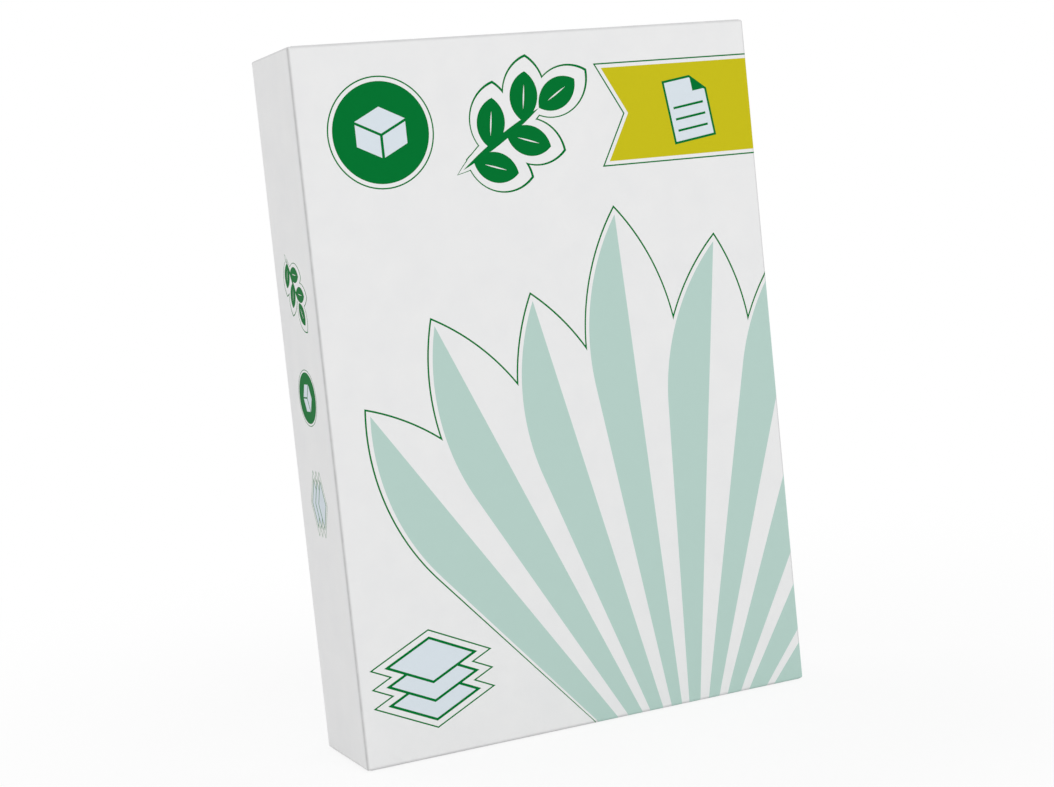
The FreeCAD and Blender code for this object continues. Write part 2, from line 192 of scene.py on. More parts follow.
@dataclass(frozen=True)
class Outline:
    """A closed line on the flat, as points in millimetres."""

    points: np.ndarray

    @classmethod
    def through(cls, corners: Sequence[Sequence[float]]) -> "Outline":
        """A polygon through the given corners."""
        following = [*corners[1:], corners[0]]
        return cls(np.concatenate([straight(a, b) for a, b in zip(corners, following)]))

    @classmethod
    def bar(cls, left: float, right: float, low: float, high: float) -> "Outline":
        """An upright rectangle."""
        return cls.through([(left, low), (right, low), (right, high), (left, high)])

    @classmethod
    def disc(cls, radius: float) -> "Outline":
        """A circle about the zero point.

        Args:
            radius: Its radius.

        Returns:
            The outline.
        """
        left, right = (-radius, 0.0), (radius, 0.0)
        lower = arc(left, (0, -1), radius, right)
        return cls(np.concatenate([lower, arc(right, (0, 1), radius, left)]))

    @classmethod
    def lozenge(cls, half_width: float, half_height: float, margin: float = 0.0) -> "Outline":
        """A rhombus about the zero point.

        Args:
            half_width: From its middle to its left and right corners.
            half_height: From its middle to its upper and lower corners.
            margin: How far it is grown on all sides.

        Returns:
            The outline.
        """
        grow = 1 + margin * math.hypot(half_width, half_height) / (half_width * half_height)
        x, y = half_width * grow, half_height * grow
        return cls.through([(-x, 0), (0, -y), (x, 0), (0, y)])

    @classmethod
    def leaf(cls, length: float, half_width: float, margin: float = 0.0) -> "Outline":
        """A pointed leaf between two arcs, standing on the zero point.

        Args:
            length: From its foot to its tip.
            half_width: From its middle line to the middle of either arc.
            margin: How far it is grown on all sides.

        Returns:
            The outline.
        """
        foot, tip = (0.0, -margin), (0.0, length + 2 * margin)
        bow = half_width + margin
        return cls(np.concatenate([arc(foot, (1, 0), bow, tip), arc(tip, (-1, 0), bow, foot)]))

    def turned(self, degrees: float) -> "Outline":
        """The outline turned to the left about the zero point."""
        c, s = math.cos(math.radians(degrees)), math.sin(math.radians(degrees))
        return Outline(self.points @ np.array([[c, s], [-s, c]]))

    def moved(self, x: float, y: float) -> "Outline":
        """The outline moved on the flat."""
        return Outline(self.points + (x, y))

    def scaled(self, factor: float) -> "Outline":
        """The outline made larger or smaller about the zero point."""
        return Outline(self.points * factor)

    def clipped(self, low: Sequence[float], high: Sequence[float]) -> "Outline":
        """What lies inside an upright rectangle.

        Args:
            low: The rectangle's lower left corner.
            high: Its upper right corner.

        Returns:
            The outline inside it, which follows its sides where the outline left it.
        """
        points = list(self.points)
        for axis, limit, sign in ((0, low[0], 1), (0, high[0], -1), (1, low[1], 1), (1, high[1], -1)):
            kept: list[np.ndarray] = []
            for a, b in zip(points, points[1:] + points[:1]):
                room_a, room_b = sign * (a[axis] - limit), sign * (b[axis] - limit)
                if room_a >= 0:
                    kept.append(a)
                if (room_a >= 0) != (room_b >= 0):
                    kept.append(a + (b - a) * room_a / (room_a - room_b))
            points = kept
        return Outline(np.array(points).reshape(-1, 2))

    def contains(self, places: np.ndarray) -> np.ndarray:
        """Which places lie inside the outline.

        Args:
            places: The places.

        Returns:
            True for each one inside.
        """
        inside = np.zeros(len(places), bool)
        near = np.all((places > self.points.min(axis=0)) & (places < self.points.max(axis=0)), axis=1)
        x, y = places[near, 0, None], places[near, 1, None]
        ax, ay = self.points.T
        bx, by = np.roll(self.points, -1, axis=0).T
        rise = np.where(by == ay, 1.0, by - ay)
        crossed = ((ay > y) != (by > y)) & (x < ax + (y - ay) * (bx - ax) / rise)
        inside[near] = crossed.sum(axis=1) % 2 == 1
        return inside


@dataclass(frozen=True)
class Layer:
    """One ink, or bare paper, inside an outline."""

    ink: Ink
    outline: Outline

    def placed(self, x: float, y: float, turn: float = 0.0, scale: float = 1.0) -> "Layer":
        """The layer at its place on the page."""
        return Layer(self.ink, self.outline.scaled(scale).turned(turn).moved(x, y))


def ringed(inner: Iterable[Outline], outer: Iterable[Outline]) -> list[Layer]:
    """A thin dark line round a mark.

    Args:
        inner: The mark's outlines, grown by the gap.
        outer: The same outlines, grown by the gap and the line.

    Returns:
        The line's layers.
    """
    line = [Layer(Ink.DARK_GREEN, outline) for outline in outer]
    return line + [Layer(Ink.PAPER, outline) for outline in inner]


@dataclass(frozen=True)
class Badge:
    """A dark disc in a ring, with a plain block in the middle, seen from above one corner."""

    radius: float = 21.0
    ring_gap: float = 1.6
    half_width: float = 11.0
    half_depth: float = 5.5
    block_height: float = 9.0
    gap: float = 1.2

    def layers(self) -> list[Layer]:
        """The badge about its own middle.

        Returns:
            Its layers, from the lowest up.
        """
        near, far = self.gap / 2, self.half_width
        fall = self.half_depth * (far - near) / far
        low = -(self.block_height + self.gap) / 2
        high = low + self.block_height
        side = [(near, low - fall), (far, low), (far, high), (near, high - fall)]
        faces = [
            Outline.lozenge(self.half_width, self.half_depth).moved(0, high + self.gap),
            Outline.through(side),
            Outline.through([(-x, y) for x, y in side]),
        ]
        inner = self.radius + self.ring_gap
        ring = ringed([Outline.disc(inner)], [Outline.disc(inner + LINE_WIDTH)])
        disc = Layer(Ink.DARK_GREEN, Outline.disc(self.radius))
        return [*ring, disc, *(Layer(Ink.PALE_BLUE, face) for face in faces)]


@dataclass(frozen=True)
class Twig:
    """A leaning twig with a line round it. Its leaves stand on either side in turn."""

    stem_length: float = 44.0
    stem_half_width: float = 1.5
    lean: float = 58.0
    leaf_length: float = 21.0
    leaf_half_width: float = 6.4
    spread: float = 50.0
    spacing: float = 9.5
    rib_length: float = 10.5
    rib_start: float = 5.0
    gap: float = 3.0

    def on_page(self, outline: Outline) -> Outline:
        """An outline drawn on the upright stem, turned with the twig about its middle."""
        return outline.moved(0, -(self.stem_length + self.leaf_length) / 2).turned(-self.lean)

    def places(self) -> list[tuple[float, float]]:
        """Where the leaves stand.

        Returns:
            How far up the stem each leaf is, and which way it is turned, from the top one down.
        """
        count = math.ceil(self.stem_length / self.spacing)
        below = range(1, count)
        pairs = [(self.stem_length - n * self.spacing, self.spread * (-1) ** (n + 1)) for n in below]
        return [(self.stem_length, 0.0), *pairs]

    def on_leaves(self, outline: Outline) -> list[Outline]:
        """An outline drawn on an upright leaf, repeated on every leaf."""
        return [self.on_page(outline.turned(turn).moved(0, along)) for along, turn in self.places()]

    def outlines(self, margin: float) -> list[Outline]:
        """The stem and the leaves.

        Args:
            margin: How far they are grown on all sides.

        Returns:
            Their outlines on the page.
        """
        stem = Outline.leaf(self.stem_length, self.stem_half_width, margin)
        leaf = Outline.leaf(self.leaf_length, self.leaf_half_width, margin)
        return [self.on_page(stem), *self.on_leaves(leaf)]

    def layers(self) -> list[Layer]:
        """The twig about its own middle.

        Returns:
            Its layers, from the lowest up.
        """
        ring = ringed(self.outlines(self.gap), self.outlines(self.gap + LINE_WIDTH))
        body = [Layer(Ink.DARK_GREEN, outline) for outline in self.outlines(0)]
        rib = Outline.leaf(self.rib_length, LINE_WIDTH / 2).moved(0, self.rib_start)
        return ring + body + [Layer(Ink.PAPER, outline) for outline in self.on_leaves(rib)]


@dataclass(frozen=True)
class LayerStack:
    """Thin layers lying on each other, seen from above one corner, with a line round them."""

    half_width: float = 21.0
    half_height: float = 10.0
    step: float = 8.0
    count: int = 3
    stroke: float = 1.1
    gap: float = 2.2

    def outlines(self, margin: float) -> list[Outline]:
        """The layers from the lowest up, grown by a margin."""
        face = Outline.lozenge(self.half_width, self.half_height, margin)
        return [face.moved(0, (level - (self.count - 1) / 2) * self.step) for level in range(self.count)]

    def layers(self) -> list[Layer]:
        """The stack about its own middle.

        Returns:
            Its layers, from the lowest up.
        """
        layers = ringed(self.outlines(self.gap), self.outlines(self.gap + LINE_WIDTH))
        for rim, fill in zip(self.outlines(0), self.outlines(-self.stroke)):
            layers += [Layer(Ink.DARK_GREEN, rim), Layer(Ink.PALE_BLUE, fill)]
        return layers


@dataclass(frozen=True)
class SheetMark:
    """A plain sheet with one corner turned over and three ruled lines."""

    width: float = 21.0
    height: float = 28.0
    corner: float = 7.0
    stroke: float = 1.0
    lines: int = 3
    spacing: float = 5.0
    indent: float = 3.0

    def rim(self, margin: float) -> Outline:
        """The sheet with its cut corner.

        Args:
            margin: How much smaller it is made on all sides.

        Returns:
            The outline.
        """
        x, y = self.width / 2 - margin, self.height / 2 - margin
        corner = self.corner - margin * (2 - math.sqrt(2))
        return Outline.through([(-x, -y), (x, -y), (x, y - corner), (x - corner, y), (-x, y)])

    def layers(self) -> list[Layer]:
        """The sheet about its own middle.

        Returns:
            Its layers, from the lowest up.
        """
        x, y = self.width / 2, self.height / 2
        fold = [(x - self.corner, y), (x - self.corner, y - self.corner), (x, y - self.corner)]
        layers = [
            Layer(Ink.DARK_GREEN, self.rim(0)),
            Layer(Ink.PALE_BLUE, self.rim(self.stroke)),
            Layer(Ink.DARK_GREEN, Outline.through(fold)),
        ]
        reach = x - self.indent
        for row in range(1, self.lines + 1):
            level = row * self.spacing - y
            layers.append(Layer(Ink.DARK_GREEN, Outline.bar(-reach, reach, level, level + self.stroke)))
        return layers


@dataclass(frozen=True)
class Ribbon:
    """A ribbon with a notched end, drawn from the middle of its notched end to the right."""

    length: float = 72.0
    width: float = 40.0
    notch: float = 11.0
    keyline: float = 1.5

    def outline(self, margin: float) -> Outline:
        """The ribbon with its notched end.

        Args:
            margin: How far it is grown on all sides but the far one.

        Returns:
            The outline.
        """
        half = self.width / 2
        slant = math.hypot(self.notch, half)
        tail = -margin * (self.notch + slant) / half
        notch = self.notch - margin * slant / half
        far, high = self.length + self.notch, half + margin
        return Outline.through([(tail, -high), (far, -high), (far, high), (tail, high), (notch, 0)])

    def layers(self) -> list[Layer]:
        """The ribbon with its line."""
        ring = ringed([self.outline(self.keyline)], [self.outline(self.keyline + LINE_WIDTH)])
        return [*ring, Layer(Ink.OLIVE, self.outline(0))]


@dataclass(frozen=True)
class PetalFan:
    """Broad petals fanned out from one root, the left half of each tinted, with a line round them all."""

    first_lean: float = 34.0
    step: float = 10.5
    lengths: tuple[float, ...] = (236.0, 250.0, 241.0, 268.0, 254.0, 272.0, 252.0, 238.0, 214.0)
    half_width: float = 20.0
    tip_length: float = 72.0
    gap: float = 1.4

    def side(self, length: float, margin: float, hand: int) -> np.ndarray:
        """One side of an upright petal.

        Args:
            length: The petal's length.
            margin: How far it is grown.
            hand: +1 for the right side, -1 for the left one.

        Returns:
            Points from the root, in a straight line to the shoulder and round an arc up to the tip.
        """
        root = np.array((0.0, -2 * margin))
        tip = np.array((0.0, length + 2 * margin))
        shoulder = np.array((hand * (self.half_width + margin), length - self.tip_length))
        run, chord = shoulder - root, tip - shoulder
        cross = run[0] * chord[1] - run[1] * chord[0]
        turn = abs(math.atan2(cross, float(run @ chord)))
        bow = float(np.hypot(*chord)) / 2 * math.tan(turn / 2)
        outward = (hand * chord[1], -hand * chord[0])
        return np.concatenate([straight(root, shoulder), arc(shoulder, outward, bow, tip), [tip]])

    def petal(self, length: float, margin: float = 0.0) -> Outline:
        """A whole petal, standing on the root."""
        left = self.side(length, margin, -1)
        return Outline(np.concatenate([self.side(length, margin, 1), left[-2:0:-1]]))

    def left_half(self, length: float) -> Outline:
        """A petal from its left side to its rib."""
        rib = straight((0, length), (0, 0))
        return Outline(np.concatenate([self.side(length, 0.0, -1), rib[1:]]))

    def layers(self) -> list[Layer]:
        """The fan about its root.

        Returns:
            Its layers, from the lowest up.
        """
        petals = [(length, self.first_lean - place * self.step) for place, length in enumerate(self.lengths)]
        inner = [self.petal(length, self.gap).turned(lean) for length, lean in petals]
        outer = [self.petal(length, self.gap + LINE_WIDTH).turned(lean) for length, lean in petals]
        layers = ringed(inner, outer)
        for length, lean in petals:
            layers.append(Layer(Ink.PAPER, self.petal(length).turned(lean)))
            layers.append(Layer(Ink.PALE_GREEN, self.left_half(length).turned(lean)))
        return layers


@dataclass
class PrintedSheet:
    """The print on the wrapper laid flat. A later layer covers the ones before it."""

    layers: list[Layer] = field(default_factory=list)

    def put(self, layers: Iterable[Layer], low: Sequence[float], high: Sequence[float]) -> None:
        """Add layers, each as far as it lies inside an upright rectangle.

        Args:
            layers: The layers at their places.
            low: The rectangle's lower left corner.
            high: Its upper right corner.
        """
        for layer in layers:
            outline = layer.outline.clipped(low, high)
            if len(outline.points) > 2:
                self.layers.append(Layer(layer.ink, outline))

    def ink_at(self, places: np.ndarray) -> np.ndarray:
        """The ink at each place.

        Args:
            places: Places on the flat.

        Returns:
            The inks' numbers, where 0 is bare paper.
        """
        inks = np.zeros(len(places), int)
        for layer in self.layers:
            inks[layer.outline.contains(places)] = INKS.index(layer.ink)
        return inks

    def borders(self) -> list[tuple[np.ndarray, np.ndarray]]:
        """The straight steps of the outlines that show, with another ink on each side.

        Returns:
            The two ends of each step.
        """
        starts = np.concatenate([layer.outline.points for layer in self.layers])
        ends = np.concatenate([np.roll(layer.outline.points, -1, axis=0) for layer in self.layers])
        run = ends - starts
        length = np.hypot(*run.T)
        real = length > NO_LENGTH
        starts, ends, run = (part[real] for part in (starts, ends, run))
        aside = np.stack([-run[:, 1], run[:, 0]], axis=1) / length[real][:, None] * LOOK_ASIDE
        shown = np.zeros(len(starts), bool)
        for share in LOOK_AT:
            place = starts + run * share
            shown |= self.ink_at(place + aside) != self.ink_at(place - aside)
        return list(zip(starts[shown], ends[shown]))


# The wrapper, laid flat and folded


@dataclass(frozen=True)
class Waves:
    """Smooth unevenness of paper, as a sum of plane waves.

    The length is a wave's mean one, and the height what most places stay within. The seed says which waves
    are drawn. A squeeze below 1 draws them out along the second coordinate.
    """

    length: float
    height: float
    seed: int
    squeeze: float = 1.0
    count: int = 7
    shortest: float = 0.7
    longest: float = 1.5
    usual_peak: float = 0.9

    def at(self, x: np.ndarray, y: np.ndarray) -> np.ndarray:
        """The height at each place.

        Args:
            x: The places' first coordinates.
            y: Their second coordinates.

        Returns:
            The heights, above and below 0.
        """
        draw = np.random.default_rng(self.seed)
        total = np.zeros_like(x)
        for _ in range(self.count):
            way, shift = draw.uniform(0, 2 * math.pi, 2)
            pitch = 2 * math.pi / (self.length * draw.uniform(self.shortest, self.longest))
            total += np.sin((x * math.cos(way) + y * self.squeeze * math.sin(way)) * pitch + shift)
        return self.height * (total / (self.usual_peak * math.sqrt(2 * self.count)))


def eased(value: np.ndarray) -> np.ndarray:
    """A smooth rise from 0 to 1 while the value goes from 0 to 1."""
    value = np.clip(value, 0, 1)
    return value * value * (3 - 2 * value)


@dataclass
class Shell:
    """Folded triangles with what covers each, and their places on the flat."""

    points: np.ndarray
    triangles: np.ndarray
    inks: np.ndarray
    flat: np.ndarray


def triangulated(
    points: np.ndarray, lines: Iterable[tuple[Sequence[float], Sequence[float]]], within: bool = False
) -> tuple[np.ndarray, np.ndarray, list[list[int]]]:
    """Triangles over points on the flat, with an edge along every line.

    Args:
        points: The points.
        lines: The ends of lines that become edges.
        within: Whether triangles outside the closed lines are left out.

    Returns:
        The corners, the triangles, and for each corner the numbers of the given points that it stands for.
    """
    ends = np.array([end for line in lines for end in line], float).reshape(-1, 2)
    given = [Vector(place) for place in np.concatenate([points, ends]).tolist()]
    edges = [(number, number + 1) for number in range(len(points), len(given), 2)]
    corners, _, faces, origins, _, _ = delaunay_2d_cdt(given, edges, [], 1 if within else 0, WELD)
    return np.array([corner[:] for corner in corners]), np.array(faces), origins


@dataclass(frozen=True)
class WrapperTube:
    """The wrapper round the pack, from the fold over one end to the fold over the other.

    On the flat, the first coordinate runs to the right from the middle of the front, as seen from outside,
    and the second one up from the middle of the height. The lap's free edge is one end of the flat and the
    paper beside it the other.
    """

    size: PackSize
    bend_steps: int = 6
    mesh_step: float = 4.6
    guard: float = 0.3
    slack: float = 0.09
    loose_slack: float = 0.16
    tight_by_folds: float = 12.0
    tight_by_ends: float = 7.0
    broad_waves: Waves = Waves(95.0, 0.6, 11)
    end_waves: Waves = Waves(17.0, 0.5, 12, squeeze=0.35)
    end_waves_reach: float = 16.0

    @property
    def bend(self) -> float:
        """A long fold's length round the outside."""
        return math.pi / 2 * self.size.long_fold_radius

    @property
    def stations(self) -> tuple[float, float, float, float]:
        """Where the front ends, the side starts and ends, and the back starts.

        Returns:
            The four places round the pack, from the middle of the front.
        """
        front_end = self.size.flat_half_width
        side_start = front_end + self.bend
        side_end = side_start + self.size.depth - 2 * self.size.long_fold_radius
        return front_end, side_start, side_end, side_end + self.bend

    @property
    def back_middle(self) -> float:
        """How far round the middle of the back is."""
        return self.stations[3] + self.size.flat_half_width

    @property
    def ends(self) -> tuple[float, float]:
        """The flat's left end, at the foot of the lap's free edge, and its right end, at the same place."""
        reach = self.size.lap_half_width + self.size.step_run
        return -(self.back_middle + reach), self.back_middle - reach

    @property
    def wall_half(self) -> float:
        """From the middle of the height to where an end's fold starts."""
        return self.size.face_height / 2 - self.size.end_fold_radius

    @property
    def rim(self) -> float:
        """How much of the flat's height goes into an end's fold."""
        return math.pi / 2 * self.size.end_fold_radius

    def wall(self, around: np.ndarray) -> tuple[np.ndarray, np.ndarray]:
        """Places on the wall as seen from above.

        Args:
            around: How far round each place is.

        Returns:
            The places, and the ways out from the wall there.
        """
        front_end, side_start, side_end, back_start = self.stations
        radius = self.size.long_fold_radius
        far = np.abs(around)
        turn = np.clip((far - front_end) / self.bend, 0, 1) + np.clip((far - side_end) / self.bend, 0, 1)
        hand = np.where(around < 0, -1.0, 1.0)
        outward = np.stack([hand * np.sin(turn * math.pi / 2), -np.cos(turn * math.pi / 2)], axis=1)
        x = hand * (np.minimum(far, front_end) - np.maximum(far - back_start, 0))
        y = self.size.front + radius + np.clip(far - side_start, 0, side_end - side_start)
        return np.stack([x, y], axis=1) + radius * outward, outward

    def lap_lift(self, around: np.ndarray) -> np.ndarray:
        """How far the lap stands off the wall: up a slope, along, and down the free edge.

        Args:
            around: How far round each place is.

        Returns:
            The height at each place.
        """
        half, rise = self.size.lap_half_width, self.size.layer_rise
        free, top = -(self.back_middle + half), -(self.back_middle - half)
        stops = [free - self.size.step_run, free, top, top + self.size.climb_length]
        return np.interp(around, stops, [0.0, rise, rise, 0.0])

    def flap_share(self, around: np.ndarray, angle: np.ndarray) -> np.ndarray:
        """Where an end's fold carries a flap, which narrows at 45 degrees.

        Args:
            around: How far round each place is.
            angle: How far the paper has turned over the fold there.

        Returns:
            1 on a flap, 0 off it, and between them on the thickness of its side.
        """
        front_end, _, _, back_start = self.stations
        far = np.abs(around)
        aside = np.where(far <= front_end, far, UNMARKED)
        aside = np.where(far >= back_start, np.abs(self.back_middle - far), aside)
        inward = 1 - np.cos(angle)
        room = front_end - self.size.end_fold_radius * inward - aside
        return np.clip(room / (self.size.step_run + self.size.layer_rise * inward), 0, 1)

    def unevenness(self, flat: np.ndarray) -> np.ndarray:
        """How far the wall lies in from its true place, for paper that isn't quite tight.

        Args:
            flat: Places on the flat.

        Returns:
            The distance at each place.
        """
        front_end, side_start, side_end, back_start = self.stations
        far, up = np.abs(flat[:, 0]), flat[:, 1]
        from_fold = np.where(far < front_end, front_end - far, np.minimum(far - side_start, side_end - far))
        from_fold = np.where(far > back_start, far - back_start, from_fold)
        from_end = self.wall_half - np.abs(up)
        free = eased(from_fold / self.tight_by_folds) * eased(from_end / self.tight_by_ends)
        by_ends = np.exp(-np.maximum(from_end, 0) / self.end_waves_reach)
        waves = self.broad_waves.at(flat[:, 0], up) + self.end_waves.at(flat[:, 0], up) * by_ends
        loose = np.where(far < front_end, self.slack, self.loose_slack)
        return loose * free * np.maximum(1 + waves, 0)

    def folded(self, flat: np.ndarray) -> np.ndarray:
        """Where places on the flat come to lie once the wrapper is round the pack.

        Args:
            flat: The places.

        Returns:
            The points.
        """
        around, up = flat.T
        wall, outward = self.wall(around)
        angle = np.clip((np.abs(up) - self.wall_half) / self.rim, 0, 1) * math.pi / 2
        centre = self.size.end_fold_radius + self.size.layer_rise * self.flap_share(around, angle)
        reach = centre + self.lap_lift(around)
        inward = centre - reach * np.cos(angle) + self.unevenness(flat)
        level = np.minimum(np.abs(up), self.wall_half) + reach * np.sin(angle)
        z = self.size.height / 2 + np.sign(up) * level
        return np.concatenate([wall - outward * inward[:, None], z[:, None]], axis=1)

    def columns(self) -> tuple[list[float], list[float]]:
        """Where the mesh has points round the pack.

        Returns:
            The places of its points, and those of its unbroken upright edges.
        """
        left, right = self.ends
        steps = range(self.bend_steps + 1)
        bends = [start + self.bend * n / self.bend_steps for start in self.stations[::2] for n in steps]
        front_end, side_start, side_end, back_start = self.stations
        guards = [front_end - self.guard, side_start + self.guard]
        guards += [side_end - self.guard, back_start + self.guard]
        half, climb = self.size.lap_half_width, self.size.climb_length
        slope_start, slope_end = half - self.back_middle, half + climb - self.back_middle
        lap = [left, left + self.size.step_run, slope_start, slope_end, right]
        lines = sorted([*bends, *guards, *(-far for far in bends), *(-far for far in guards), *lap])
        between: list[float] = []
        for a, b in zip(lines, lines[1:]):
            steps = max(1, round((b - a) / self.mesh_step))
            between += [a + (b - a) * n / steps for n in range(1, steps)]
        return sorted([*lines, *between]), lines

    def rows(self) -> tuple[list[float], list[float]]:
        """Where the mesh has points up the pack.

        Returns:
            The levels of its points, and those of its unbroken level edges.
        """
        folds = [self.wall_half + self.rim * n / self.bend_steps for n in range(self.bend_steps + 1)]
        last = self.wall_half - self.guard
        folds.append(last)
        lines = sorted([*folds, *(-level for level in folds)])
        inner = np.linspace(-last, last, round(2 * last / self.mesh_step) + 1)[1:-1]
        return sorted([*lines, *inner.tolist()]), lines

    def flap_sides(self) -> list[tuple[np.ndarray, np.ndarray]]:
        """The foot and the top of each flap's side, as far as it lies on an end's fold.

        Returns:
            Short lines, each as its two ends.
        """
        shares = np.arange(self.bend_steps + 1) / self.bend_steps
        inward = 1 - np.cos(shares * math.pi / 2)
        low = self.stations[0] - self.size.end_fold_radius * inward
        high = low - self.size.step_run - self.size.layer_rise * inward
        lines = []
        for aside in (low, high):
            for around in (aside, -aside, self.back_middle - aside, aside - self.back_middle):
                for hand in (-1, 1):
                    path = np.stack([around, hand * (self.wall_half + self.rim * shares)], axis=1)
                    lines += list(zip(path[:-1], path[1:]))
        return lines

    def shell(self, print_: PrintedSheet) -> Shell:
        """The folded tube.

        Args:
            print_: The print on the flat.

        Returns:
            Its triangles with their inks.
        """
        columns, upright = self.columns()
        rows, level = self.rows()
        grid = np.array([(x, y) for x in columns for y in rows])
        lines = [((x, rows[0]), (x, rows[-1])) for x in upright]
        lines += [((columns[0], y), (columns[-1], y)) for y in level]
        lines += self.flap_sides() + print_.borders()
        flat, triangles, _ = triangulated(grid, lines)
        middles = flat[triangles].mean(axis=1)
        return Shell(self.folded(flat), triangles, print_.ink_at(middles), flat)

    def crest(self, shell: Shell, top: bool) -> np.ndarray:
        """The points where an end's fold comes to lie flat.

        Args:
            shell: The folded tube.
            top: Whether it is the top end.

        Returns:
            The points in their order round the pack.
        """
        level = self.wall_half + self.rim
        numbers = np.flatnonzero(np.abs(shell.flat[:, 1] - (level if top else -level)) < SAME_LEVEL)
        numbers = numbers[np.argsort(shell.flat[numbers, 0])]
        return shell.points[numbers[1:]]


@dataclass(frozen=True)
class WrapperEnd:
    """One end of the pack inside its folds: two tucked ears, a rear flap, and a front flap over it."""

    size: PackSize
    mesh_step: float = 2.4
    edge_room: float = 0.55
    slack: float = 0.26
    slack_from: float = 1.2
    slack_run: float = 7.0
    broad_waves: Waves = Waves(38.0, 0.6, 21)
    fine_waves: Waves = Waves(15.0, 0.3, 22)
    ear_drop: float = 0.09
    ear_slope: float = 1.8
    ear_drop_from: float = 3.0
    ear_drop_run: float = 5.0
    ear_lines: int = 4
    ear_lines_inset: float = 5.0
    climb_lines: int = 5
    lap_settle: float = 0.55
    lap_settle_run: float = 12.0

    def flap(self, room: np.ndarray, aside: np.ndarray, edge: float) -> np.ndarray:
        """How much of a flap there is: 1 on it, 0 off it, and between them on the thickness of its edges.

        Args:
            room: How far in from the flap's own wall each place is.
            aside: How far it is from the middle of the width.
            edge: How far in the flap's free edge is.

        Returns:
            The shares.
        """
        run = self.size.step_run
        side = (self.size.flat_half_width - room - aside) / run
        return np.clip(np.minimum(side, (edge + run - room) / run), 0, 1)

    def heights(self, plan: np.ndarray) -> np.ndarray:
        """How high the end stands over its ears.

        Args:
            plan: Places on the end, seen from above.

        Returns:
            The height at each place.
        """
        size = self.size
        x, y = plan.T
        aside, from_front, from_back = np.abs(x), y - size.front, size.back - y
        rise, free = size.layer_rise, size.flap_length
        half, run = size.lap_half_width, size.step_run
        covered = from_back - (size.depth - free - self.lap_settle_run)
        settled = 1 - self.lap_settle * eased(covered / self.lap_settle_run)
        across = np.interp(x, [-half - size.climb_length, -half, half, half + run], [0, 1, 1, 0])
        lap = rise * settled * across
        rear = self.flap(from_back, aside, free) * rise + lap
        climb = eased((from_front - (size.depth - free - size.climb_length)) / size.climb_length)
        front = rise * (1 + climb)
        share = self.flap(from_front, aside, free)
        return rear + (front - rear) * share

    def unevenness(self, plan: np.ndarray) -> np.ndarray:
        """How far the flaps lie below their true height.

        Args:
            plan: Places on the end, seen from above.

        Returns:
            The distance at each place.
        """
        x, y = plan.T
        from_wall = np.minimum(y - self.size.front, self.size.back - y)
        from_wall = np.minimum(from_wall, self.size.width / 2 - np.abs(x))
        waves = self.broad_waves.at(x, y) + self.fine_waves.at(x, y)
        ear = self.size.width / 2 - self.size.flap_length
        off_ears = 1 - eased((np.abs(x) - ear + self.ear_slope / 2) / self.ear_slope)
        sunk = self.ear_drop * off_ears * eased((from_wall - self.ear_drop_from) / self.ear_drop_run)
        free = eased((from_wall - self.slack_from) / self.slack_run)
        return self.slack * free * np.maximum(1 + waves, 0) + sunk

    def lines(self) -> list[tuple[Sequence[float], Sequence[float]]]:
        """The flaps' sides and free edges, the climb, the lap, and the ears' edges.

        Returns:
            The two ends of each line, seen from above.
        """
        size = self.size
        half, free, run = size.flat_half_width, size.flap_length, size.step_run
        ear, fold = size.end_fold_radius, size.end_fold_radius + size.layer_rise
        lines = []
        for wall, inward in ((size.front, 1), (size.back, -1)):
            for hand in (-1, 1):
                foot = [(hand * (half - ear), wall + inward * ear)]
                foot.append((hand * (half - free - run), wall + inward * (free + run)))
                top = [(hand * (half - run - fold), wall + inward * fold)]
                top.append((hand * (half - run - free), wall + inward * free))
                lines += [tuple(foot), tuple(top)]
            for in_ in (free, free + run):
                level = wall + inward * in_
                lines.append(((-(half - free - run), level), (half - free - run, level)))
        climb_end = size.front + size.depth - free
        for level in np.linspace(climb_end - size.climb_length, climb_end, self.climb_lines):
            reach = half - run - (level - size.front)
            lines.append(((-reach, level), (reach, level)))
        lap = size.lap_half_width
        for x in (-lap - size.climb_length, -lap, lap, lap + run):
            lines.append(((x, size.back - fold), (x, size.front + free + run)))
        low, high = size.front + self.ear_lines_inset, size.back - self.ear_lines_inset
        for x in np.linspace(-self.ear_slope / 2, self.ear_slope / 2, self.ear_lines) + size.width / 2 - free:
            lines += [((hand * x, low), (hand * x, high)) for hand in (-1, 1)]
        return lines

    def shell(self, crest: np.ndarray, top: bool) -> Shell:
        """The end's triangles.

        Args:
            crest: The points round the end, where its folds come to lie flat.
            top: Whether it is the top end.

        Returns:
            The triangles, all of bare paper.
        """
        size = self.size
        ring = crest.copy()
        if not top:
            ring[:, 2] = size.height - ring[:, 2]
        reach = self.mesh_step * self.edge_room + size.end_fold_radius + size.layer_rise
        xs = np.arange(-size.width / 2 + reach, size.width / 2 - reach, self.mesh_step)
        ys = np.arange(size.front + reach, size.back - reach, self.mesh_step)
        grid = np.array([(x + self.mesh_step / 2 * (n % 2), y) for n, y in enumerate(ys) for x in xs])
        lines = list(zip(ring[:, :2], np.roll(ring[:, :2], -1, axis=0)))
        for line in self.lines():
            lines += in_steps(*line)
        given = np.concatenate([ring[:, :2], grid])
        plan, triangles, origins = triangulated(given, lines, within=True)
        z = size.ear_level + self.heights(plan) - self.unevenness(plan)
        points = np.concatenate([plan, z[:, None]], axis=1)
        for corner, numbers in enumerate(origins):
            on_ring = [number for number in numbers if number < len(ring)]
            if on_ring:
                points[corner] = ring[on_ring[0]]
        if not top:
            points[:, 2] = size.height - points[:, 2]
            triangles = triangles[:, ::-1]
        return Shell(points, triangles, np.zeros(len(triangles), int), plan)


# Shader maths


